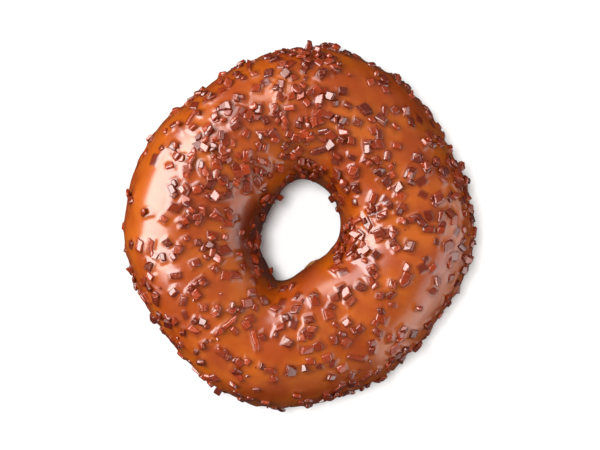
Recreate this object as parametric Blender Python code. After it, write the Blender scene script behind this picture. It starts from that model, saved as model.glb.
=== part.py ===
"""A chocolate-iced ring doughnut strewn with chocolate flakes, at its real size in metres, +Z up.

The doughnut lies flat on its base, seen from above with +X to the right and +Y away from the viewer.
The origin is on the surface that it lies on, at the middle of its outline.

dough_ring       the fried yeast dough: an uneven ring with a small flat base
chocolate_icing  the shell of chocolate that the top was dipped in, with the flakes that stuck to it
"""

import math
import random

import bmesh
import bpy
from mathutils import Matrix, Vector, noise

MM = 0.001

# The outline of the iced ring from above: a mean radius, and waves of (lobes, height, azimuth of a peak)
ICED_RADIUS = 44.9 * MM
OUTLINE_WAVES = (
    (2, 1.03 * MM, 69),
    (3, 0.23 * MM, 34),
    (4, 1.05 * MM, -10),
    (6, 0.25 * MM, 6),
    (7, 0.23 * MM, -4),
)
RING_CENTRE = Vector((-0.4, -0.25, 0)) * MM

# The hole, off the ring's centre, with a notch where the dough was pinched
HOLE_RADIUS = 10.95 * MM
HOLE_WAVES = ((1, 1.23 * MM, 102), (2, 1.12 * MM, 52), (3, 0.86 * MM, -29))
HOLE_OFFSET = Vector((0.7, -0.25, 0)) * MM
NOTCH_DEPTH = 4.4 * MM
NOTCH_AZIMUTH = 250
NOTCH_WIDTH = 17

# The dough's cross-section
DOUGH_HEIGHT = 31 * MM
BASE_CUT = 1.5 * MM
SQUARENESS = 0.025

# The dough's slow swells, which fade out under its base, and a crease that runs up from the hole's notch
TUBE_REACH = 28 * MM
TUBE_RADIUS = 15 * MM
SWELL_HEIGHT = 0.75 * MM
SWELL_SIZE = 11 * MM
BASE_CALM = 0.85
BASE_SPREAD = 30
CREASE_DEPTH = 1.3 * MM
CREASE_AZIMUTH = NOTCH_AZIMUTH - 6
CREASE_WIDTH = 9
CREASE_AROUND = 152
CREASE_SPREAD = 24

# The icing: a thin shell that stops in a rounded edge below the widest line, outside and in the hole
ICING_THICKNESS = 1.2 * MM
GAP = 0.4 * MM
ROUNDED_SHARE = 0.035
EDGE_BEAD = 0.35 * MM
BEAD_SHARE = 0.06
BEAD_WIDTH = 0.05
OUTER_EDGE = -13
INNER_EDGE = 194
EDGE_WAVES = ((2, 2.4, 20), (3, 2.8, 40), (5, 2.4, 10), (8, 1.8, 25), (13, 1.2, 3))
BARE_AZIMUTH = 282
BARE_WIDTH = 24
BARE_RISE = 38

# The flakes: blocks of cut chocolate, thrown on by hand, so they lie thickly in places
FLAKE_SEED = 11
FLAKES = 275
FLAKE_LENGTH = (1.9 * MM, 3.5 * MM)
FLAKE_WIDTH = (1.5 * MM, 2.5 * MM)
FLAKE_DEPTH = (0.9 * MM, 1.25 * MM)
STICK_SHARE = 0.035
STICK_LENGTH = (3.8 * MM, 5.8 * MM)
STICK_WIDTH = 1.3 * MM
FLAKE_TILT = 12
LEVEL_LENGTH = 2.6 * MM
SUNK = 0.5 * MM
FLAKE_SPACING = 0.8
OUTER_MARGIN = 7
INNER_MARGIN = 26
CROWDED = 1.6
SPREAD_FLAKES = 0.42
# (azimuth, distance from the ring's centre, radius of the patch, how much thicker, or thinner)
HANDFULS = (
    (146, 25 * MM, 7 * MM, 2.2),
    (118, 26 * MM, 7 * MM, 1.3),
    (90, 27 * MM, 6 * MM, 1.2),
    (190, 27 * MM, 6 * MM, 0.5),
    (350, 18 * MM, 6 * MM, 0.9),
    (22, 38 * MM, 8 * MM, 0.6),
    (224, 31 * MM, 7 * MM, 0.5),
    (60, 20 * MM, 6 * MM, 0.7),
    (82, 42 * MM, 4 * MM, 0.8),
    (168, 38 * MM, 5 * MM, -0.6),
    (143, 46 * MM, 5 * MM, -0.6),
)
# Flakes that stand out: one on its end on the far rim, the longest stick, and four at the edge of the hole.
# (azimuth, around, turn from along the ring, roll, (length, width, depth), how deep it sank)
ODD_FLAKES = (
    (86, 16, 90, 80, (3.7 * MM, 2.6 * MM, 1.7 * MM), 1.1 * MM),
    (233, 84, 88, 0, (7.0 * MM, 1.5 * MM, 1.2 * MM), 0.5 * MM),
    (129, 178, 90, 90, (3.0 * MM, 1.6 * MM, 1.1 * MM), 1.1 * MM),
    (195, 180, 0, 90, (2.4 * MM, 2.0 * MM, 1.6 * MM), 1.3 * MM),
    (231, 176, 0, 80, (2.6 * MM, 2.0 * MM, 1.5 * MM), 1.2 * MM),
    (26, 174, 90, 75, (2.6 * MM, 1.6 * MM, 1.2 * MM), 1.3 * MM),
)

# Facets
NORMAL_STEP = 0.5
ROUND_STEPS = 60
DOUGH_STEPS = 22
ICING_STEPS = 16
LINING_STEPS = 13

DOUGH_COLOUR = (0.42, 0.19, 0.055, 1)
DOUGH_ROUGHNESS = 0.55
DOUGH_SHARP = 60
ICING_COLOUR = (0.27, 0.055, 0.009, 1)
ICING_ROUGHNESS = 0.25
ICING_SHARP = 35


def wave(waves, azimuth):
    """The sum of the slow waves at an azimuth in degrees."""
    return sum(
        height * math.cos(math.radians(lobes * (azimuth - peak)))
        for lobes, height, peak in waves
    )


def bump(azimuth, peak, width):
    """1 at the peak's azimuth, falling away on both sides."""
    away = (azimuth - peak + 180) % 360 - 180
    return math.exp(-0.5 * (away / width) ** 2)


def out_along(azimuth):
    turn = math.radians(azimuth)
    return Vector((math.cos(turn), math.sin(turn), 0))


def outer_point(azimuth):
    """Where the dough reaches furthest out, under the icing."""
    radius = ICED_RADIUS + wave(OUTLINE_WAVES, azimuth) - ICING_THICKNESS - GAP
    return RING_CENTRE + radius * out_along(azimuth)


def hole_point(azimuth):
    """The dough's wall at the narrowest level of the hole.

    Where it is bare it stands in as far as the icing does beside it.
    """
    notch = NOTCH_DEPTH * bump(azimuth, NOTCH_AZIMUTH, NOTCH_WIDTH)
    iced = 1 - bump(azimuth, BARE_AZIMUTH, BARE_WIDTH)
    radius = HOLE_RADIUS + wave(HOLE_WAVES, azimuth) + notch
    radius += iced * (ICING_THICKNESS + GAP)
    return RING_CENTRE + HOLE_OFFSET + radius * out_along(azimuth)


def relief(azimuth, around):
    """How far the dough swells or sinks at a point of its surface."""
    rise = math.radians(around)
    place = (TUBE_REACH + TUBE_RADIUS * math.cos(rise)) * out_along(azimuth)
    place.z = TUBE_RADIUS * math.sin(rise)
    calm = 1 - BASE_CALM * bump(around, 270, BASE_SPREAD)
    crease = bump(azimuth, CREASE_AZIMUTH, CREASE_WIDTH) * bump(around, CREASE_AROUND, CREASE_SPREAD)
    return SWELL_HEIGHT * calm * noise.noise(place / SWELL_SIZE) - CREASE_DEPTH * crease


def dough_point(azimuth, around):
    """A point of the dough's surface. Around the tube, 0 faces out, 90 up and 180 into the hole."""
    outer, hole = outer_point(azimuth), hole_point(azimuth)
    rise = math.radians(around)
    across = (math.cos(rise) - SQUARENESS * math.cos(3 * rise)) / (1 - SQUARENESS)
    up = (math.sin(rise) + SQUARENESS * math.sin(3 * rise)) / (1 - SQUARENESS)
    raised = relief(azimuth, around)
    half_height = (DOUGH_HEIGHT + BASE_CUT) / 2
    point = (outer + hole) / 2 + (outer - hole) / 2 * across
    point += out_along(azimuth) * raised * math.cos(rise)
    point.z = half_height - BASE_CUT + half_height * up + raised * math.sin(rise)
    return point


def surface_axes(azimuth, around):
    """Unit vectors at a point of the surface: along the ring, over the tube, and out of the dough."""
    along = dough_point(azimuth + NORMAL_STEP, around) - dough_point(azimuth - NORMAL_STEP, around)
    over = dough_point(azimuth, around + NORMAL_STEP) - dough_point(azimuth, around - NORMAL_STEP)
    along.normalize()
    out = along.cross(over).normalized()
    return along, out.cross(along), out


def lifted_point(azimuth, around, lift):
    return dough_point(azimuth, around) + lift * surface_axes(azimuth, around)[2]


def icing_edges(azimuth):
    """How far round the tube the icing runs: from its outer edge to its edge in the hole."""
    outer = OUTER_EDGE + wave(EDGE_WAVES, azimuth)
    inner = INNER_EDGE - wave(EDGE_WAVES, azimuth + 75)
    inner -= BARE_RISE * bump(azimuth, BARE_AZIMUTH, BARE_WIDTH)
    return outer, inner


def icing_lift(share):
    """The height of the icing's face above the dough, from its outer edge, 0, to its inner edge, 1.

    It thins to nothing in a quarter round at each edge, behind a slight bead of chocolate that ran down.
    """
    from_edge = min(share, 1 - share)
    rounding = math.sqrt(1 - max(1 - from_edge / ROUNDED_SHARE, 0) ** 2)
    bead = EDGE_BEAD * math.exp(-(((from_edge - BEAD_SHARE) / BEAD_WIDTH) ** 2))
    return GAP + rounding * (ICING_THICKNESS + bead)


def skin_shares(steps):
    """Shares from 0 to 1 for the icing's face: close together at the rounded edges, even between."""
    edge = [0, 0.3 * ROUNDED_SHARE, ROUNDED_SHARE]
    middle = [ROUNDED_SHARE + (1 - 2 * ROUNDED_SHARE) * i / steps for i in range(1, steps)]
    return edge + middle + [1 - share for share in reversed(edge)]


def spun_tube(name, profile_steps, place):
    """A closed tube round the Z axis: a circle is spun, and each point put where place(azimuth, i) says."""
    mesh = bmesh.new()
    upright = Matrix.Rotation(math.pi / 2, 4, "X")
    start = bmesh.ops.create_circle(mesh, segments=profile_steps, radius=TUBE_RADIUS, matrix=upright)
    bmesh.ops.translate(mesh, verts=start["verts"], vec=Vector((TUBE_REACH, 0, 0)))
    bmesh.ops.spin(
        mesh,
        geom=mesh.verts[:] + mesh.edges[:],
        cent=(0, 0, 0),
        axis=(0, 0, 1),
        angle=2 * math.pi,
        steps=ROUND_STEPS,
        use_merge=True,
    )
    for vert in mesh.verts:
        azimuth = math.degrees(math.atan2(vert.co.y, vert.co.x))
        around = math.atan2(vert.co.z, vert.co.xy.length - TUBE_REACH)
        vert.co = place(azimuth, round(around / (2 * math.pi) * profile_steps) % profile_steps)
    bmesh.ops.recalc_face_normals(mesh, faces=mesh.faces)
    data = bpy.data.meshes.new(name)
    mesh.to_mesh(data)
    mesh.free()
    piece = bpy.data.objects.new(name, data)
    bpy.context.scene.collection.objects.link(piece)
    return piece


def make_dough():
    """The ring of dough, with the points below its base brought up into one flat face."""

    def place(azimuth, index):
        point = dough_point(azimuth, 360 * index / DOUGH_STEPS)
        point.z = max(point.z, 0)
        return point

    return spun_tube("dough_ring", DOUGH_STEPS, place)


def make_icing_shell():
    """The shell of icing: its face over the top, and its lining a small gap above the dough."""
    face = skin_shares(ICING_STEPS)
    lining = [1 - i / LINING_STEPS for i in range(1, LINING_STEPS)]
    profile = [(share, icing_lift(share)) for share in face] + [(share, GAP) for share in lining]

    def place(azimuth, index):
        share, lift = profile[index]
        outer, inner = icing_edges(azimuth)
        return lifted_point(azimuth, outer + (inner - outer) * share, lift)

    return spun_tube("chocolate_icing", len(profile), place)


def flake_density(place):
    """How likely a flake is to lie at a place: thin all over, and thicker where a handful fell."""
    density = SPREAD_FLAKES
    for azimuth, distance, radius, thicker in HANDFULS:
        away = (place - RING_CENTRE - distance * out_along(azimuth)).xy.length
        density += thicker * math.exp(-0.5 * (away / radius) ** 2)
    return density


def flake_size(draw):
    """Length, width and depth of one flake: most are blocks, a few are sticks."""
    depth = draw.uniform(*FLAKE_DEPTH)
    if draw.random() < STICK_SHARE:
        return draw.uniform(*STICK_LENGTH), STICK_WIDTH, depth
    return draw.uniform(*FLAKE_LENGTH), draw.uniform(*FLAKE_WIDTH), depth


def settled(azimuth, around, spin, lean, roll, size, sunk):
    """A flake's size, its matrix once it has sunk into the icing, its place, and the room that it takes."""
    place = lifted_point(azimuth, around, GAP + ICING_THICKNESS)
    facing = Matrix(surface_axes(azimuth, around)).transposed().to_4x4()
    turned = Matrix.Rotation(math.radians(spin), 4, "Z")
    turned @= Matrix.Rotation(math.radians(lean), 4, "X") @ Matrix.Rotation(math.radians(roll), 4, "Y")
    reach = sum(abs(turned[2][i]) * size[i] / 2 for i in range(3))
    height = Matrix.Translation((0, 0, reach - sunk))
    return size, Matrix.Translation(place) @ facing @ height @ turned, place, math.hypot(*size[:2]) / 2


def lay_flakes():
    """The flakes that stand out, and then the others, thrown at random where no other lies.

    A long flake settles more nearly level than a short one.
    """
    draw = random.Random(FLAKE_SEED)
    furthest = ICED_RADIUS + 2 * MM
    laid = [
        settled(azimuth, around, turn, 0, roll, size, sunk)
        for azimuth, around, turn, roll, size, sunk in ODD_FLAKES
    ]
    while len(laid) < FLAKES:
        azimuth = draw.uniform(0, 360)
        outer, inner = icing_edges(azimuth)
        around = draw.uniform(outer + OUTER_MARGIN, inner - INNER_MARGIN)
        chance = draw.uniform(0, CROWDED)
        size = flake_size(draw)
        tilt = FLAKE_TILT * min(1, (LEVEL_LENGTH / size[0]) ** 2)
        spin, lean, roll = draw.uniform(0, 180), draw.gauss(0, tilt), draw.gauss(0, tilt)
        flake = settled(azimuth, around, spin, lean, roll, size, SUNK)
        place, room = flake[2:]
        share_of_area = (place - RING_CENTRE).xy.length / furthest
        thick_enough = chance < flake_density(place) * share_of_area
        clear = all((place - other).length > FLAKE_SPACING * (room + taken) for *_, other, taken in laid)
        if thick_enough and clear:
            laid.append(flake)
    return laid


def add_flakes(icing):
    """Joins the flakes to the icing with one union."""
    flakes = bpy.data.collections.new("flakes")
    bpy.context.scene.collection.children.link(flakes)
    for number, (size, matrix, *_) in enumerate(lay_flakes()):
        block = bmesh.new()
        bmesh.ops.create_cube(block, size=1, matrix=matrix @ Matrix.Diagonal((*size, 1)))
        data = bpy.data.meshes.new(f"flake_{number}")
        block.to_mesh(data)
        block.free()
        flakes.objects.link(bpy.data.objects.new(data.name, data))
    union = icing.modifiers.new("flakes", "BOOLEAN")
    union.operation = "UNION"
    union.operand_type = "COLLECTION"
    union.collection = flakes
    union.solver = "MANIFOLD"
    graph = bpy.context.evaluated_depsgraph_get()
    joined = bpy.data.meshes.new_from_object(icing.evaluated_get(graph))
    icing.modifiers.clear()
    icing.data = joined
    for flake in list(flakes.objects):
        bpy.data.objects.remove(flake)
    bpy.data.collections.remove(flakes)


def finish(piece, name, colour, roughness, sharp_above):
    """Shades the piece smooth, and gives it its material."""
    piece.data.shade_smooth()
    piece.data.set_sharp_from_angle(angle=math.radians(sharp_above))
    material = bpy.data.materials.new(name)
    material.use_nodes = True
    shader = material.node_tree.nodes["Principled BSDF"]
    shader.inputs["Base Color"].default_value = colour
    shader.inputs["Roughness"].default_value = roughness
    piece.data.materials.clear()
    piece.data.materials.append(material)


def main():
    for thing in list(bpy.data.objects):
        bpy.data.objects.remove(thing)
    dough = make_dough()
    icing = make_icing_shell()
    add_flakes(icing)
    finish(dough, "fried dough", DOUGH_COLOUR, DOUGH_ROUGHNESS, DOUGH_SHARP)
    finish(icing, "chocolate icing", ICING_COLOUR, ICING_ROUGHNESS, ICING_SHARP)


main()
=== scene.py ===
"""The looks of a ring doughnut dipped in milk chocolate icing and strewn with chocolate flakes.

Everything is in metres, +Z up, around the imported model: a ring of fried dough, the skin of icing
over its top, and the flakes that fell on the icing while it was wet.
"""

import functools
import math
import random

import bmesh
import bpy
from mathutils import Matrix, Vector, kdtree, noise


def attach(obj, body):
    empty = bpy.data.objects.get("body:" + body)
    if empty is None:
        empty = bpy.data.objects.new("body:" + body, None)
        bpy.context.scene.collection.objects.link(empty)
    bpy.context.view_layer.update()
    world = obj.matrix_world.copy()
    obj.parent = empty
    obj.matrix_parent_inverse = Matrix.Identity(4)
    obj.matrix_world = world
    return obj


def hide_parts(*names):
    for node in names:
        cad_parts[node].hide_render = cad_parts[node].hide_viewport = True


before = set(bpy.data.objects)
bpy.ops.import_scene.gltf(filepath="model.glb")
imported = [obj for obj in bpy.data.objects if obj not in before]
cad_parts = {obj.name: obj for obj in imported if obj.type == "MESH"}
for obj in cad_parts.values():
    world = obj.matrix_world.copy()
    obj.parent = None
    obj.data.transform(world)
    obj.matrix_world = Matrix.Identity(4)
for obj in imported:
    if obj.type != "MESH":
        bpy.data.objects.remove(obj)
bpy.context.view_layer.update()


# The dough
# A ring of yeast dough, proved and fried on both sides. It is golden brown above and below, with a
# paler band round its middle that floated out of the fat, and it settled onto a small flat base.
MM = 0.001
ICED_RADIUS = 44.9 * MM
OUTLINE_WAVES = (
    (2, 1.03 * MM, 69),
    (3, 0.23 * MM, 34),
    (4, 1.05 * MM, -10),
    (6, 0.25 * MM, 6),
    (7, 0.23 * MM, -4),
)
RING_CENTRE = Vector((-0.4, -0.25, 0)) * MM
HOLE_RADIUS = 10.95 * MM
HOLE_WAVES = ((1, 1.23 * MM, 102), (2, 1.12 * MM, 52), (3, 0.86 * MM, -29))
HOLE_OFFSET = Vector((0.7, -0.25, 0)) * MM
NOTCH_DEPTH = 4.4 * MM
NOTCH_AZIMUTH = 250
NOTCH_WIDTH = 17
DOUGH_HEIGHT = 31 * MM
BASE_CUT = 1.5 * MM
SQUARENESS = 0.025
TUBE_REACH = 28 * MM
TUBE_RADIUS = 15 * MM
SWELL_HEIGHT = 0.75 * MM
SWELL_SIZE = 11 * MM
BASE_CALM = 0.85
BASE_SPREAD = 30
CREASE_DEPTH = 1.3 * MM
CREASE_AZIMUTH = NOTCH_AZIMUTH - 6
CREASE_WIDTH = 9
CREASE_AROUND = 152
CREASE_SPREAD = 24
ICING_THICKNESS = 1.2 * MM
GAP = 0.4 * MM
BARE_AZIMUTH = 282
BARE_WIDTH = 24
TIDE_HEIGHT = 12 * MM
TIDE_WANDER = 4.5 * MM
TIDE_LENGTH = 9 * MM
BAND_EDGE = (1.5 * MM, 6 * MM)
# how far from the axis the hole's wall is painted brown, as painted shade
HOLE_WALL_PAINTED_SHADE = (14 * MM, 22 * MM)
MOTTLE_SIZE = 3 * MM
PORE_SIZE = 0.7 * MM
PORE_DEPTH = 0.12 * MM
BLISTER_HEIGHT = 0.22 * MM
BLISTER_SIZE = 2.4 * MM
WRINKLE_HEIGHT = 0.1 * MM
WRINKLE_SIZE = 1.1 * MM
NORMAL_STEP = 0.5
FINER = 4
DOUGH_ROUND_STEPS = 400
DOUGH_PROFILE_STEPS = 168


def wave(waves, azimuth):
    """The sum of slow waves at an azimuth in degrees."""
    return sum(
        height * math.cos(math.radians(lobes * (azimuth - peak)))
        for lobes, height, peak in waves
    )


def bump(azimuth, peak, width):
    """1 at the peak's azimuth, falling away on both sides."""
    away = (azimuth - peak + 180) % 360 - 180
    return math.exp(-0.5 * (away / width) ** 2)


def out_along(azimuth):
    turn = math.radians(azimuth)
    return Vector((math.cos(turn), math.sin(turn), 0))


@functools.cache
def outer_point(azimuth):
    """Where the dough reaches furthest out, under the icing."""
    radius = ICED_RADIUS + wave(OUTLINE_WAVES, azimuth) - ICING_THICKNESS - GAP
    return RING_CENTRE + radius * out_along(azimuth)


@functools.cache
def hole_point(azimuth):
    """The dough's wall at the narrowest level of the hole."""
    notch = NOTCH_DEPTH * bump(azimuth, NOTCH_AZIMUTH, NOTCH_WIDTH)
    iced = 1 - bump(azimuth, BARE_AZIMUTH, BARE_WIDTH)
    radius = HOLE_RADIUS + wave(HOLE_WAVES, azimuth) + notch
    radius += iced * (ICING_THICKNESS + GAP)
    return RING_CENTRE + HOLE_OFFSET + radius * out_along(azimuth)


def relief(azimuth, around):
    """How far the dough swells or sinks: slow swells, least under its base, and a crease."""
    rise = math.radians(around)
    place = (TUBE_REACH + TUBE_RADIUS * math.cos(rise)) * out_along(azimuth)
    place.z = TUBE_RADIUS * math.sin(rise)
    calm = 1 - BASE_CALM * bump(around, 270, BASE_SPREAD)
    crease = bump(azimuth, CREASE_AZIMUTH, CREASE_WIDTH)
    crease *= bump(around, CREASE_AROUND, CREASE_SPREAD)
    return SWELL_HEIGHT * calm * noise.noise(place / SWELL_SIZE) - CREASE_DEPTH * crease


def dough_point(azimuth, around):
    """A point of the dough's surface. Around the tube, 0 faces out, 90 up and 180 into the hole."""
    outer, hole = outer_point(azimuth), hole_point(azimuth)
    rise = math.radians(around)
    across = (math.cos(rise) - SQUARENESS * math.cos(3 * rise)) / (1 - SQUARENESS)
    up = (math.sin(rise) + SQUARENESS * math.sin(3 * rise)) / (1 - SQUARENESS)
    raised = relief(azimuth, around)
    half_height = (DOUGH_HEIGHT + BASE_CUT) / 2
    point = (outer + hole) / 2 + (outer - hole) / 2 * across
    point += out_along(azimuth) * raised * math.cos(rise)
    point.z = half_height - BASE_CUT + half_height * up + raised * math.sin(rise)
    return point


def surface_axes(azimuth, around):
    """Unit vectors at a point of the surface: along the ring, over the tube, and outwards."""
    along = dough_point(azimuth + NORMAL_STEP, around) - dough_point(azimuth - NORMAL_STEP, around)
    over = dough_point(azimuth, around + NORMAL_STEP) - dough_point(azimuth, around - NORMAL_STEP)
    along.normalize()
    out = along.cross(over).normalized()
    return along, out.cross(along), out


def lifted_point(azimuth, around, lift):
    return dough_point(azimuth, around) + lift * surface_axes(azimuth, around)[2]


def spun_tube(name, round_steps, profile_steps, place):
    """A closed tube round the Z axis, spun and subdivided, with its points at place(azimuth, i)."""
    mesh = bmesh.new()
    upright = Matrix.Rotation(math.pi / 2, 4, "X")
    segments = profile_steps // FINER
    start = bmesh.ops.create_circle(mesh, segments=segments, radius=TUBE_RADIUS, matrix=upright)
    bmesh.ops.translate(mesh, verts=start["verts"], vec=Vector((TUBE_REACH, 0, 0)))
    bmesh.ops.spin(
        mesh,
        geom=mesh.verts[:] + mesh.edges[:],
        cent=(0, 0, 0),
        axis=(0, 0, 1),
        angle=2 * math.pi,
        steps=round_steps // FINER,
        use_merge=True,
    )
    bmesh.ops.subdivide_edges(mesh, edges=mesh.edges[:], cuts=FINER - 1, use_grid_fill=True)
    for vert in mesh.verts:
        turn = math.atan2(vert.co.y, vert.co.x) / (2 * math.pi)
        rise = math.atan2(vert.co.z, vert.co.xy.length - TUBE_REACH) / (2 * math.pi)
        azimuth = 360 * (round(turn * round_steps) % round_steps) / round_steps
        vert.co = place(azimuth, round(rise * profile_steps) % profile_steps)
    bmesh.ops.recalc_face_normals(mesh, faces=mesh.faces)
    return finished(name, mesh)


def finished(name, mesh):
    """Turns a bmesh into an object that is shaded smooth."""
    data = bpy.data.meshes.new(name)
    mesh.to_mesh(data)
    mesh.free()
    data.shade_smooth()
    piece = bpy.data.objects.new(name, data)
    bpy.context.scene.collection.objects.link(piece)
    return piece


def crust_relief(point):
    """Blisters and wrinkles of the fried skin."""
    blister = max(0, noise.noise(point / BLISTER_SIZE) - 0.1)
    wrinkle = noise.noise(point / WRINKLE_SIZE)
    return BLISTER_HEIGHT * blister + WRINKLE_HEIGHT * wrinkle


def crust_point(azimuth, index):
    """A point of the fried crust, flattened where it rests."""
    around = 360 * index / DOUGH_PROFILE_STEPS
    point = dough_point(azimuth, around)
    point += crust_relief(point) * surface_axes(azimuth, around)[2]
    point.z = max(point.z, 0)
    return point


def linear(code):
    """An sRGB hex colour as linear red, green, blue and alpha."""
    shares = [int(code[i : i + 2], 16) / 255 for i in (1, 3, 5)]
    return (*[s / 12.92 if s <= 0.04045 else ((s + 0.055) / 1.055) ** 2.4 for s in shares], 1)


def add_node(tree, kind, inputs=None, **settings):
    """Adds a node with its settings; an input is a value, or another node's socket to link."""
    made = tree.nodes.new(kind)
    for name, value in settings.items():
        setattr(made, name, value)
    for name, value in (inputs or {}).items():
        if isinstance(value, bpy.types.NodeSocket):
            tree.links.new(value, made.inputs[name])
        else:
            made.inputs[name].default_value = value
    return made


def fried_crust():
    """Fried yeast dough: browned where it lay in the fat, cream between, with a dull oily skin."""
    material = bpy.data.materials.new("fried yeast dough")
    material.use_nodes = True
    tree = material.node_tree
    shader = tree.nodes["Principled BSDF"]
    place = add_node(tree, "ShaderNodeTexCoord").outputs["Object"]
    height = add_node(tree, "ShaderNodeSeparateXYZ", {0: place}).outputs["Z"]
    # the tide line wanders by a few millimetres over a centimetre
    wander = add_node(
        tree, "ShaderNodeTexNoise", {"Vector": place, "Scale": 1 / TIDE_LENGTH, "Detail": 3}
    )
    shift = add_node(
        tree,
        "ShaderNodeMapRange",
        {"Value": wander.outputs[0], "To Min": -TIDE_WANDER, "To Max": TIDE_WANDER},
    )
    level = add_node(tree, "ShaderNodeMath", {0: height, 1: shift.outputs[0]}, operation="ADD")
    from_tide = add_node(
        tree, "ShaderNodeMath", {0: level.outputs[0], 1: TIDE_HEIGHT}, operation="SUBTRACT"
    )
    away = add_node(tree, "ShaderNodeMath", {0: from_tide.outputs[0]}, operation="ABSOLUTE")
    browned = add_node(
        tree,
        "ShaderNodeMapRange",
        {"Value": away.outputs[0], "From Min": BAND_EDGE[0], "From Max": BAND_EDGE[1]},
        interpolation_type="SMOOTHSTEP",
    )
    # and the wall of the hole is painted brown at every height, as painted shade
    flat = add_node(
        tree, "ShaderNodeVectorMath", {0: place, 1: (1, 1, 0)}, operation="MULTIPLY"
    )
    from_axis = add_node(
        tree, "ShaderNodeVectorMath", {0: flat.outputs[0]}, operation="LENGTH"
    ).outputs["Value"]
    inside = add_node(
        tree,
        "ShaderNodeMapRange",
        {
            "Value": from_axis,
            "From Min": HOLE_WALL_PAINTED_SHADE[0],
            "From Max": HOLE_WALL_PAINTED_SHADE[1],
            "To Min": 0.9,
            "To Max": 0,
        },
    )
    # the fried tide line's real browning, and the painted shade in the hole
    browned_and_painted_shade = add_node(
        tree, "ShaderNodeMath", {0: browned.outputs[0], 1: inside.outputs[0]}, operation="MAXIMUM"
    )
    mottle = add_node(
        tree, "ShaderNodeTexNoise", {"Vector": place, "Scale": 1 / MOTTLE_SIZE, "Detail": 5}
    )
    brown = add_node(
        tree,
        "ShaderNodeMix",
        {0: mottle.outputs[0], 6: linear("#8A4A1C"), 7: linear("#C78442")},
        data_type="RGBA",
    )
    both = add_node(
        tree,
        "ShaderNodeMix",
        {0: browned_and_painted_shade.outputs[0], 6: linear("#E3BE80"), 7: brown.outputs[2]},
        data_type="RGBA",
    )
    pores = add_node(
        tree, "ShaderNodeTexNoise", {"Vector": place, "Scale": 1 / PORE_SIZE, "Detail": 4}
    )
    dents = add_node(
        tree,
        "ShaderNodeBump",
        {"Height": pores.outputs[0], "Strength": 0.5, "Distance": PORE_DEPTH},
    )
    tree.links.new(both.outputs[2], shader.inputs["Base Color"])
    tree.links.new(dents.outputs[0], shader.inputs["Normal"])
    shader.inputs["Roughness"].default_value = 0.52
    shader.inputs["IOR"].default_value = 1.46
    shader.inputs["Subsurface Weight"].default_value = 0.12
    shader.inputs["Subsurface Scale"].default_value = 1.5 * MM
    shader.inputs["Subsurface Radius"].default_value = (1.0, 0.5, 0.25)
    return material


dough = spun_tube("fried_dough", DOUGH_ROUND_STEPS, DOUGH_PROFILE_STEPS, crust_point)
dough.data.materials.append(fried_crust())
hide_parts("dough_ring")
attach(dough, "root")


# The icing
# Melted milk chocolate icing, which the top of the ring was dipped in. It grips the dough, runs a
# little below the widest line outside and in the hole, and sets glossy over the dough's swells.
ROUNDED_SHARE = 0.035
EDGE_BEAD = 0.35 * MM
BEAD_SHARE = 0.06
BEAD_WIDTH = 0.05
OUTER_EDGE = -13
INNER_EDGE = 194
EDGE_WAVES = ((2, 2.4, 20), (3, 2.8, 40), (5, 2.4, 10), (8, 1.8, 25), (13, 1.2, 3))
BARE_RISE = 38
ICING_SEAT = 0.12 * MM
RIPPLE_HEIGHT = 0.12 * MM
RIPPLE_SIZE = 6.5 * MM
THIN_PATCH_SIZE = 11 * MM
GRAIN_SIZE = 0.6 * MM
GRAIN_DEPTH = 0.03 * MM
# where the icing on the left wall of the hole is painted dark, as painted shade
PAINTED_HOLE_SHADE_CENTRE = Vector((-5, -3, 0)) * MM
PAINTED_HOLE_SHADE_REACH = (9 * MM, 14.5 * MM)
PAINTED_HOLE_SHADE_SHARE = 0.85
ICING_ROUND_STEPS = 560
ICING_FACE_STEPS = 132
ICING_LINING_STEPS = 37


@functools.cache
def icing_edges(azimuth):
    """How far round the tube the icing runs: from its outer edge to its edge in the hole."""
    outer = OUTER_EDGE + wave(EDGE_WAVES, azimuth)
    inner = INNER_EDGE - wave(EDGE_WAVES, azimuth + 75)
    inner -= BARE_RISE * bump(azimuth, BARE_AZIMUTH, BARE_WIDTH)
    return outer, inner


def icing_lift(share):
    """The height of the icing's face above the dough, from its outer edge, 0, to its inner, 1."""
    from_edge = min(share, 1 - share)
    rounding = math.sqrt(1 - max(1 - from_edge / ROUNDED_SHARE, 0) ** 2)
    bead = EDGE_BEAD * math.exp(-(((from_edge - BEAD_SHARE) / BEAD_WIDTH) ** 2))
    return ICING_SEAT + rounding * (GAP + ICING_THICKNESS - ICING_SEAT + bead)


def icing_profile():
    """(share of the way across, lift) for each point of the icing's section: face, then lining."""
    edge = [0, 0.003, 0.01, 0.02, ROUNDED_SHARE]
    middle = ICING_FACE_STEPS - 2 * len(edge) + 1
    inside = [edge[-1] + (1 - 2 * edge[-1]) * i / middle for i in range(1, middle)]
    face = edge + inside + [1 - share for share in reversed(edge)]
    lining = [1 - i / ICING_LINING_STEPS for i in range(1, ICING_LINING_STEPS)]
    seated = [(share, ICING_SEAT) for share in lining]
    return [(share, icing_lift(share)) for share in face] + seated


ICING_PROFILE = icing_profile()


def icing_point(azimuth, index):
    """A point of the icing; its face ripples gently, as it set."""
    share, lift = ICING_PROFILE[index]
    outer, inner = icing_edges(azimuth)
    around = outer + (inner - outer) * share
    below = dough_point(azimuth, around)
    ripple = RIPPLE_HEIGHT * noise.noise(below / RIPPLE_SIZE) * lift / (GAP + ICING_THICKNESS)
    return below + (lift + ripple) * surface_axes(azimuth, around)[2]


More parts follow.
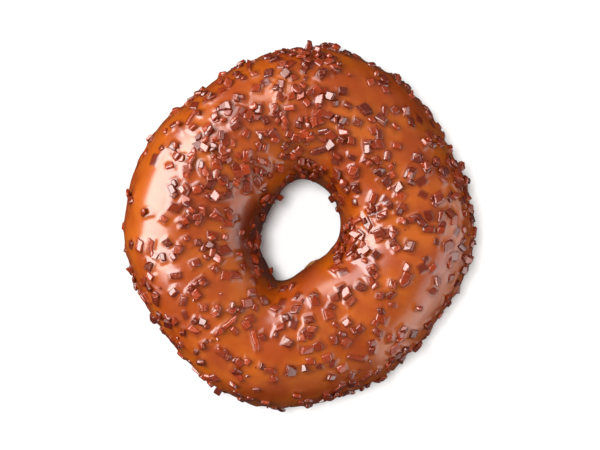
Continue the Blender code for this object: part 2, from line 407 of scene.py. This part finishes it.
def milk_chocolate_icing():
    """Set milk chocolate icing: smooth, slightly see-through, with a wet gloss, pale where thin."""
    material = bpy.data.materials.new("dipped milk chocolate icing")
    material.use_nodes = True
    tree = material.node_tree
    shader = tree.nodes["Principled BSDF"]
    place = add_node(tree, "ShaderNodeTexCoord").outputs["Object"]
    depth = add_node(
        tree, "ShaderNodeTexNoise", {"Vector": place, "Scale": 1 / THIN_PATCH_SIZE, "Detail": 3}
    )
    thin = add_node(
        tree,
        "ShaderNodeMapRange",
        {"Value": depth.outputs[0], "From Min": 0.35, "From Max": 0.65},
        interpolation_type="SMOOTHSTEP",
    )
    colour = add_node(
        tree,
        "ShaderNodeMix",
        {0: thin.outputs[0], 6: linear("#8C3604"), 7: linear("#A24C08")},
        data_type="RGBA",
    )
    # painted shade: the icing on the left wall of the hole is painted dark maroon, as far as the
    # notch
    flat = add_node(
        tree,
        "ShaderNodeVectorMath",
        {0: place, 1: (1, 1, 0), 2: -PAINTED_HOLE_SHADE_CENTRE},
        operation="MULTIPLY_ADD",
    )
    away = add_node(
        tree, "ShaderNodeVectorMath", {0: flat.outputs[0]}, operation="LENGTH"
    ).outputs["Value"]
    painted_hole_shade = add_node(
        tree,
        "ShaderNodeMapRange",
        {
            "Value": away,
            "From Min": PAINTED_HOLE_SHADE_REACH[0],
            "From Max": PAINTED_HOLE_SHADE_REACH[1],
            "To Min": PAINTED_HOLE_SHADE_SHARE,
            "To Max": 0,
        },
        interpolation_type="SMOOTHSTEP",
    )
    # painted shade: dark maroon mixed into the icing on the hole's left wall
    with_painted_hole_shade = add_node(
        tree,
        "ShaderNodeMix",
        {0: painted_hole_shade.outputs[0], 6: colour.outputs[2], 7: linear("#45120A")},
        data_type="RGBA",
    )
    # sunken flakes show darker through the icing over them, and round each flake's foot the icing
    # is painted darker, as painted shade
    tint_and_shade_map = add_node(tree, "ShaderNodeAttribute", attribute_name="tint_and_painted_shade")
    icing_tinted_and_shaded = add_node(
        tree,
        "ShaderNodeMix",
        {0: tint_and_shade_map.outputs["Fac"], 6: with_painted_hole_shade.outputs[2], 7: linear("#641E05")},
        data_type="RGBA",
    )
    grain = add_node(
        tree, "ShaderNodeTexNoise", {"Vector": place, "Scale": 1 / GRAIN_SIZE, "Detail": 2}
    )
    dents = add_node(
        tree,
        "ShaderNodeBump",
        {"Height": grain.outputs[0], "Strength": 0.3, "Distance": GRAIN_DEPTH},
    )
    tree.links.new(icing_tinted_and_shaded.outputs[2], shader.inputs["Base Color"])
    tree.links.new(dents.outputs[0], shader.inputs["Normal"])
    shader.inputs["Roughness"].default_value = 0.25
    shader.inputs["IOR"].default_value = 1.7
    shader.inputs["Subsurface Weight"].default_value = 0.15
    shader.inputs["Subsurface Scale"].default_value = 1.0 * MM
    shader.inputs["Subsurface Radius"].default_value = (1.0, 0.35, 0.15)
    return material


icing = spun_tube("milk_chocolate_icing", ICING_ROUND_STEPS, len(ICING_PROFILE), icing_point)
icing.data.materials.append(milk_chocolate_icing())
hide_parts("chocolate_icing")
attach(icing, "root")


# The flakes
# Small blocks and sticks cut from set chocolate, thrown on by hand while the icing was wet. They
# sank in a little, it crept up round their feet and over some, and it holds them now it has set.
FLAKE_SEED = 11
FLAKES = 275
FLAKE_LENGTH = (1.9 * MM, 3.5 * MM)
FLAKE_WIDTH = (1.5 * MM, 2.5 * MM)
FLAKE_DEPTH = (0.9 * MM, 1.25 * MM)
STICK_SHARE = 0.035
STICK_LENGTH = (3.8 * MM, 5.8 * MM)
STICK_WIDTH = 1.3 * MM
FLAKE_TILT = 12
LEVEL_LENGTH = 2.6 * MM
SUNK = 0.5 * MM
FLAKE_SPACING = 0.8
OUTER_MARGIN = 7
INNER_MARGIN = 26
CROWDED = 1.6
SPREAD_FLAKES = 0.42
# (azimuth, distance from the ring's centre, radius of the patch, how much thicker, or thinner)
HANDFULS = (
    (146, 25 * MM, 7 * MM, 2.2),
    (118, 26 * MM, 7 * MM, 1.3),
    (90, 27 * MM, 6 * MM, 1.2),
    (190, 27 * MM, 6 * MM, 0.5),
    (350, 18 * MM, 6 * MM, 0.9),
    (22, 38 * MM, 8 * MM, 0.6),
    (224, 31 * MM, 7 * MM, 0.5),
    (60, 20 * MM, 6 * MM, 0.7),
    (82, 42 * MM, 4 * MM, 0.8),
    (168, 38 * MM, 5 * MM, -0.6),
    (143, 46 * MM, 5 * MM, -0.6),
)
# Flakes that stand out: one on its end on the far rim, the longest stick, and four at the hole.
# (azimuth, around, turn from along the ring, roll, (length, width, depth), how deep it sank)
ODD_FLAKES = (
    (86, 16, 90, 80, (3.7 * MM, 2.6 * MM, 1.7 * MM), 1.1 * MM),
    (233, 84, 88, 0, (7.0 * MM, 1.5 * MM, 1.2 * MM), 0.5 * MM),
    (129, 178, 90, 90, (3.0 * MM, 1.6 * MM, 1.1 * MM), 1.1 * MM),
    (195, 180, 0, 90, (2.4 * MM, 2.0 * MM, 1.6 * MM), 1.3 * MM),
    (231, 176, 0, 80, (2.6 * MM, 2.0 * MM, 1.5 * MM), 1.2 * MM),
    (26, 174, 90, 75, (2.6 * MM, 1.6 * MM, 1.2 * MM), 1.3 * MM),
)
PILED_DENSITY = 0.75
PILED_SHARE = 0.8
PILED_ASIDE = 0.45
PILED_TILT = 15
PRESSED = 0.2 * MM
PILED_SEED = 29
SMALL_SEED = 23
SMALL_FLAKES = 400
SMALL_LENGTH = (1.5 * MM, 2.7 * MM)
SMALL_WIDTH = (0.6, 0.95)
SMALL_DEPTH = (0.8 * MM, 1.2 * MM)
SMALL_TILT = 16
SMALL_SUNK = 0.45 * MM
SMALL_SPACING = 0.42
SUNKEN_SEED = 31
SUNKEN_FLAKES = 22
SUNKEN_TILT = 5
DEEP_SUNK = 1.2 * MM
SUNKEN_SPACING = 0.8
CRUMB_SEED = 37
CRUMBS = 50
CRUMB_LENGTH = (0.5 * MM, 1.1 * MM)
CRUMB_WIDTH = (0.5, 0.9)
CRUMB_DEPTH = (0.4, 0.7)
CRUMB_TILT = 30
CRUMB_SUNK = 0.12 * MM
CRUMB_SPACING = 0.6
FILM_RISE = 0.22 * MM
FILM_REACH = 0.35 * MM
FOOT_RISE = 0.24 * MM
FOOT_REACH = 0.45 * MM
# how much painted shade the icing gets round a flake's foot
FOOT_PAINTED_SHADE = 0.45
CUT_GRAIN_SIZE = 1.0 * MM
CUT_GRAIN_DEPTH = 0.45 * MM


def flake_density(place):
    """How likely a flake is to lie at a place: thin all over, and thicker where a handful fell."""
    density = SPREAD_FLAKES
    for azimuth, distance, radius, thicker in HANDFULS:
        away = (place - RING_CENTRE - distance * out_along(azimuth)).xy.length
        density += thicker * math.exp(-0.5 * (away / radius) ** 2)
    return density


def flake_size(draw):
    """Length, width and depth of one flake: most are blocks, a few are sticks."""
    depth = draw.uniform(*FLAKE_DEPTH)
    if draw.random() < STICK_SHARE:
        return draw.uniform(*STICK_LENGTH), STICK_WIDTH, depth
    return draw.uniform(*FLAKE_LENGTH), draw.uniform(*FLAKE_WIDTH), depth


def settled(azimuth, around, spin, lean, roll, size, sunk):
    """A flake's size, its matrix once it has sunk in, its place, and the room that it takes."""
    place = lifted_point(azimuth, around, GAP + ICING_THICKNESS)
    facing = Matrix(surface_axes(azimuth, around)).transposed().to_4x4()
    turned = Matrix.Rotation(math.radians(spin), 4, "Z")
    turned @= (
        Matrix.Rotation(math.radians(lean), 4, "X") @ Matrix.Rotation(math.radians(roll), 4, "Y")
    )
    reach = sum(abs(turned[2][i]) * size[i] / 2 for i in range(3))
    height = Matrix.Translation((0, 0, reach - sunk))
    matrix = Matrix.Translation(place) @ facing @ height @ turned
    return size, matrix, place, math.hypot(*size[:2]) / 2


def throw_flakes(seed, count, size_of, most_tilt, sunk, spacing, before):
    """Flakes thrown at random, where none of them and none of those before lies too near."""
    draw = random.Random(seed)
    furthest = ICED_RADIUS + 2 * MM
    thrown = []
    while len(thrown) < count:
        azimuth = draw.uniform(0, 360)
        outer, inner = icing_edges(azimuth)
        around = draw.uniform(outer + OUTER_MARGIN, inner - INNER_MARGIN)
        chance = draw.uniform(0, CROWDED)
        size = size_of(draw)
        tilt = most_tilt * min(1, (LEVEL_LENGTH / size[0]) ** 2)
        spin, lean, roll = draw.uniform(0, 180), draw.gauss(0, tilt), draw.gauss(0, tilt)
        flake = settled(azimuth, around, spin, lean, roll, size, sunk)
        place, room = flake[2:]
        share_of_area = (place - RING_CENTRE).xy.length / furthest
        thick_enough = chance < flake_density(place) * share_of_area
        if thick_enough and all(
            (place - other).length > spacing * (room + taken)
            for *_, other, taken in (*before, *thrown)
        ):
            thrown.append(flake)
    return thrown


def pile_flakes(seed, blocks):
    """Smaller flakes that fell across blocks where they lie thickly, each turned and tipped."""
    draw = random.Random(seed)
    piled = []
    for size, matrix, place, _ in blocks:
        if flake_density(place) < PILED_DENSITY or draw.random() > PILED_SHARE:
            continue
        own = small_flake_size(draw)
        aside = [draw.uniform(-PILED_ASIDE, PILED_ASIDE) * side for side in size[:2]]
        turned = Matrix.Rotation(math.radians(draw.uniform(0, 180)), 4, "Z")
        turned @= Matrix.Rotation(math.radians(draw.gauss(0, PILED_TILT)), 4, "X")
        laid = matrix @ Matrix.Translation((*aside, (size[2] + own[2]) / 2 - PRESSED)) @ turned
        piled.append((own, laid, laid.translation, math.hypot(*own[:2]) / 2))
    return piled


def small_flake_size(draw):
    """Length, width and depth of a smaller flake, broken off a block."""
    length = draw.uniform(*SMALL_LENGTH)
    return length, length * draw.uniform(*SMALL_WIDTH), draw.uniform(*SMALL_DEPTH)


def crumb_size(draw):
    """Length, width and depth of a crumb."""
    length = draw.uniform(*CRUMB_LENGTH)
    return length, length * draw.uniform(*CRUMB_WIDTH), length * draw.uniform(*CRUMB_DEPTH)


def chip(mesh, draw):
    """Makes one cut block, a unit across: sides askew, top smaller than its foot, corners lost."""
    skew, taper = draw.uniform(-0.3, 0.3), draw.uniform(0.85, 1.0)
    slant = draw.uniform(-0.08, 0.08)
    for vert in bmesh.ops.create_cube(mesh, size=1)["verts"]:
        vert.co.x += skew * vert.co.y
        if vert.co.z > 0:
            vert.co.x = vert.co.x * taper + slant
            vert.co.y *= draw.uniform(0.88, 1.0)
        vert.co.x *= draw.uniform(0.94, 1.08)
        vert.co.y *= draw.uniform(0.94, 1.1)
        vert.co.z *= draw.uniform(0.85, 1.08)
    for _ in range(draw.choice((0, 1, 1, 2))):
        heading = math.tau * draw.random()
        slope = draw.uniform(-0.2, 0.7)
        outwards = Vector((math.cos(heading), math.sin(heading), slope)).normalized()
        cut = bmesh.ops.bisect_plane(
            mesh,
            geom=mesh.verts[:] + mesh.edges[:] + mesh.faces[:],
            plane_co=outwards * draw.uniform(0.4, 0.56),
            plane_no=outwards,
            clear_outer=True,
        )["geom_cut"]
        rim = [part for part in cut if isinstance(part, bmesh.types.BMEdge)]
        bmesh.ops.holes_fill(mesh, edges=rim)


def cut_flakes(name, laid, seed, worn, pointed):
    """One mesh of flakes: cut blocks with worn edges, each in its own shade, the first pointed."""
    draw = random.Random(seed)
    joined, data = bmesh.new(), bpy.data.meshes.new("one_flake")
    for number, (size, matrix, _, _) in enumerate(laid):
        block = bmesh.new()
        shade = block.faces.layers.float.new("shade")
        chip(block, draw)
        if number < pointed:
            tip = [vert for vert in block.verts if vert.co.x < 0]
            bmesh.ops.scale(block, verts=tip, vec=(1, 0.4, 0.6))
        sized = matrix @ Matrix.Diagonal((*size, 1))
        bmesh.ops.transform(block, matrix=sized, verts=block.verts)
        bmesh.ops.remove_doubles(block, verts=block.verts, dist=worn / 3)
        bmesh.ops.bevel(
            block,
            geom=block.edges[:],
            offset=worn * draw.uniform(0.7, 1.3),
            affect="EDGES",
            segments=2,
            profile=0.5,
            material=-1,
            clamp_overlap=True,
        )
        own_shade = draw.random()
        for face in block.faces:
            face[shade] = own_shade
        block.to_mesh(data)
        block.free()
        joined.from_mesh(data)
    bpy.data.meshes.remove(data)
    bmesh.ops.recalc_face_normals(joined, faces=joined.faces)
    piece = finished(name, joined)
    evened = piece.modifiers.new("evened", "WEIGHTED_NORMAL")
    evened.weight = 80
    return piece


def cut_chocolate():
    """Cut chocolate, wetted by the icing: darker and redder, with glinting edges and fine grain."""
    material = bpy.data.materials.new("cut chocolate")
    material.use_nodes = True
    tree = material.node_tree
    shader = tree.nodes["Principled BSDF"]
    own = add_node(tree, "ShaderNodeAttribute", attribute_name="shade")
    colour = add_node(
        tree,
        "ShaderNodeMix",
        {0: own.outputs["Fac"], 6: linear("#581505"), 7: linear("#92310E")},
        data_type="RGBA",
    )
    place = add_node(tree, "ShaderNodeTexCoord").outputs["Object"]
    grain = add_node(
        tree,
        "ShaderNodeTexNoise",
        {"Vector": place, "Scale": 1 / CUT_GRAIN_SIZE, "Detail": 4, "Roughness": 0.65},
    )
    dents = add_node(
        tree,
        "ShaderNodeBump",
        {"Height": grain.outputs[0], "Strength": 0.8, "Distance": CUT_GRAIN_DEPTH},
    )
    tree.links.new(colour.outputs[2], shader.inputs["Base Color"])
    tree.links.new(dents.outputs[0], shader.inputs["Normal"])
    shader.inputs["Roughness"].default_value = 0.2
    shader.inputs["Specular Tint"].default_value = (1, 0.64, 0.46, 1)
    shader.inputs["IOR"].default_value = 1.55
    shader.inputs["Coat Weight"].default_value = 1
    shader.inputs["Coat Roughness"].default_value = 0.04
    shader.inputs["Coat IOR"].default_value = 1.6
    return material


def wet_icing(piece, laid, climb, reach, tint_and_painted_shade):
    """Lifts the icing where it crept up or over flakes; darkens it as flake tint and painted shade.
    """
    tree = kdtree.KDTree(len(laid))
    for index, (_, _, place, _) in enumerate(laid):
        tree.insert(place, index)
    tree.balance()
    inverses = [matrix.inverted() for _, matrix, _, _ in laid]
    normals = [vert.normal.copy() for vert in piece.data.vertices]
    tint_and_shade_values = piece.data.attributes["tint_and_painted_shade"].data
    for vert, normal in zip(piece.data.vertices, normals):
        rise = 0
        for place, index, _ in tree.find_range(vert.co, STICK_LENGTH[1] / 2 + 3 * reach):
            if (vert.co - place).dot(normal) < -ICING_THICKNESS / 2:
                continue
            size, _, _, _ = laid[index]
            local = inverses[index] @ vert.co
            beyond = [max(abs(local[i]) - size[i] / 2, 0) for i in (0, 1)]
            rise = max(rise, climb * math.exp(-((math.hypot(*beyond) / reach) ** 2)))
        vert.co += rise * normal
        tint_and_shade_values[vert.index].value = max(tint_and_shade_values[vert.index].value, tint_and_painted_shade * rise / climb)


odd = [
    settled(azimuth, around, turn, 0, roll, size, sunk)
    for azimuth, around, turn, roll, size, sunk in ODD_FLAKES
]
blocks = odd + throw_flakes(
    FLAKE_SEED, FLAKES - len(odd), flake_size, FLAKE_TILT, SUNK, FLAKE_SPACING, odd
)
smaller = throw_flakes(
    SMALL_SEED, SMALL_FLAKES, small_flake_size, SMALL_TILT, SMALL_SUNK, SMALL_SPACING, blocks
)
smaller += pile_flakes(PILED_SEED, blocks)
above = blocks + smaller
sunken = throw_flakes(
    SUNKEN_SEED, SUNKEN_FLAKES, small_flake_size, SUNKEN_TILT, DEEP_SUNK, SUNKEN_SPACING, above
)
crumbs = throw_flakes(
    CRUMB_SEED, CRUMBS, crumb_size, CRUMB_TILT, CRUMB_SUNK, CRUMB_SPACING, above
)
# one map for the darker tint over sunken flakes and the painted shade round flakes' feet
icing.data.attributes.new("tint_and_painted_shade", "FLOAT", "POINT")
wet_icing(icing, sunken, FILM_RISE, FILM_REACH, 1)
# the icing round every flake's foot climbs, and gets painted shade
wet_icing(icing, above, FOOT_RISE, FOOT_REACH, FOOT_PAINTED_SHADE)
chocolate = cut_chocolate()
for name, laid, seed, worn, pointed in (
    ("chocolate_flakes", blocks, 5, 0.42 * MM, 1),
    ("small_chocolate_flakes", smaller, 6, 0.36 * MM, 0),
    ("chocolate_crumbs", crumbs, 7, 0.06 * MM, 0),
):
    flakes = cut_flakes(name, laid, seed, worn, pointed)
    flakes.data.materials.append(chocolate)
    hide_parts("chocolate_icing")
    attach(flakes, "root")


# The table and the light
# A white table top, which isn't part of the doughnut, under a lamp of its own for a short soft
# shadow. A tall window stands on the doughnut's left and a white card on its right, with a wide
# soft light overhead that leaves no reflection, and a small one above and behind.
FLOOR_SIZE = 6.0
bpy.ops.mesh.primitive_plane_add(size=FLOOR_SIZE, location=(0, 0, 0))
floor = bpy.context.object
floor.name = "table_top"
laminate = bpy.data.materials.new("matt white laminate")
laminate.use_nodes = True
white = laminate.node_tree.nodes["Principled BSDF"]
white.inputs["Base Color"].default_value = linear("#E6E6E6")
white.inputs["Roughness"].default_value = 0.6
white.inputs["Emission Color"].default_value = (1, 1, 1, 1)
white.inputs["Emission Strength"].default_value = 0.12
floor.data.materials.append(laminate)
floor.visible_glossy = False
floor.visible_diffuse = False


def receivers(name, state):
    """What a light shines on: the table top alone, or all but the table top."""
    chosen = bpy.data.collections.new(name)
    chosen.objects.link(floor)
    chosen.collection_objects[0].light_linking.link_state = state
    return chosen


def soft_light(name, azimuth, polar, distance, width, height, radiance, reflected, lit):
    """A rectangular soft light that faces the doughnut, as bright however large it is."""
    data = bpy.data.lights.new(name, "AREA")
    data.shape = "RECTANGLE"
    data.size, data.size_y = width, height
    data.energy = radiance * math.pi * width * height
    light = bpy.data.objects.new(name, data)
    tilt = math.radians(polar)
    place = distance * (math.sin(tilt) * out_along(azimuth) + Vector((0, 0, math.cos(tilt))))
    light.location = place
    light.rotation_euler = (-place).to_track_quat("-Z", "Y").to_euler()
    light.visible_camera = False
    light.visible_glossy = reflected
    light.light_linking.receiver_collection = lit
    bpy.context.scene.collection.objects.link(light)


all_but_table = receivers("all_but_table", "EXCLUDE")
table_alone = receivers("table_alone", "INCLUDE")
# (name, azimuth, polar angle, distance, width, height, radiance, reflected, what it lights)
LIGHTS = (
    ("window", 166, 57, 1.0, 0.88, 0.9, 9.0, True, all_but_table),
    ("card", -18, 74, 1.2, 1.7, 1.0, 1.3, True, all_but_table),
    ("fill", 25, 14, 1.2, 1.2, 1.2, 2.45, False, all_but_table),
    ("back_light", 116, 42, 1.0, 0.4, 0.4, 4, True, all_but_table),
    ("table_lamp", 158, 7, 3.0, 0.66, 0.66, 74, False, table_alone),
)
for soft in LIGHTS:
    soft_light(*soft)

# A dim room, darkest below and straight overhead, with a soft glow low on the right, as from a
# white wall beyond the table
world = bpy.data.worlds.new("studio")
world.use_nodes = True
room = world.node_tree
sky = room.nodes["Background"]
facing = add_node(room, "ShaderNodeTexCoord").outputs["Generated"]
height = add_node(room, "ShaderNodeSeparateXYZ", {0: facing}).outputs["Z"]
walls = add_node(
    room,
    "ShaderNodeMapRange",
    {"Value": height, "From Min": -0.3, "From Max": 0.3, "To Min": 0.04, "To Max": 0.24},
)
overhead = add_node(
    room, "ShaderNodeMapRange", {"Value": height, "From Min": 0.5, "From Max": 1, "To Max": 0.19}
)
dimmed = add_node(
    room, "ShaderNodeMath", {0: walls.outputs[0], 1: overhead.outputs[0]}, operation="SUBTRACT"
)
white_wall = Vector((0.9, -0.4, -0.12)).normalized()
toward = add_node(
    room, "ShaderNodeVectorMath", {0: facing, 1: white_wall}, operation="DOT_PRODUCT"
).outputs["Value"]
glow = add_node(
    room,
    "ShaderNodeMapRange",
    {"Value": toward, "From Min": 0.78, "From Max": 1, "To Max": 1.2},
    interpolation_type="SMOOTHSTEP",
)
whole = add_node(
    room, "ShaderNodeMath", {0: dimmed.outputs[0], 1: glow.outputs[0]}, operation="ADD"
)
room.links.new(whole.outputs[0], sky.inputs["Strength"])
sky.inputs["Color"].default_value = (1, 1, 1, 1)
bpy.context.scene.world = world
bpy.context.scene.view_settings.view_transform = "Standard"

# The camera looks straight down on the doughnut through a long lens
CAMERA_HEIGHT = 520 * MM
WIDEST_LEVEL = 16 * MM
VIEW_WIDTH = 156 * MM
camera_data = bpy.data.cameras.new("camera")
camera_data.lens = camera_data.sensor_width * CAMERA_HEIGHT / VIEW_WIDTH
camera = bpy.data.objects.new("camera", camera_data)
camera.location = (0.1 * MM, 0.4 * MM, WIDEST_LEVEL + CAMERA_HEIGHT)
bpy.context.scene.collection.objects.link(camera)
bpy.context.scene.camera = camera
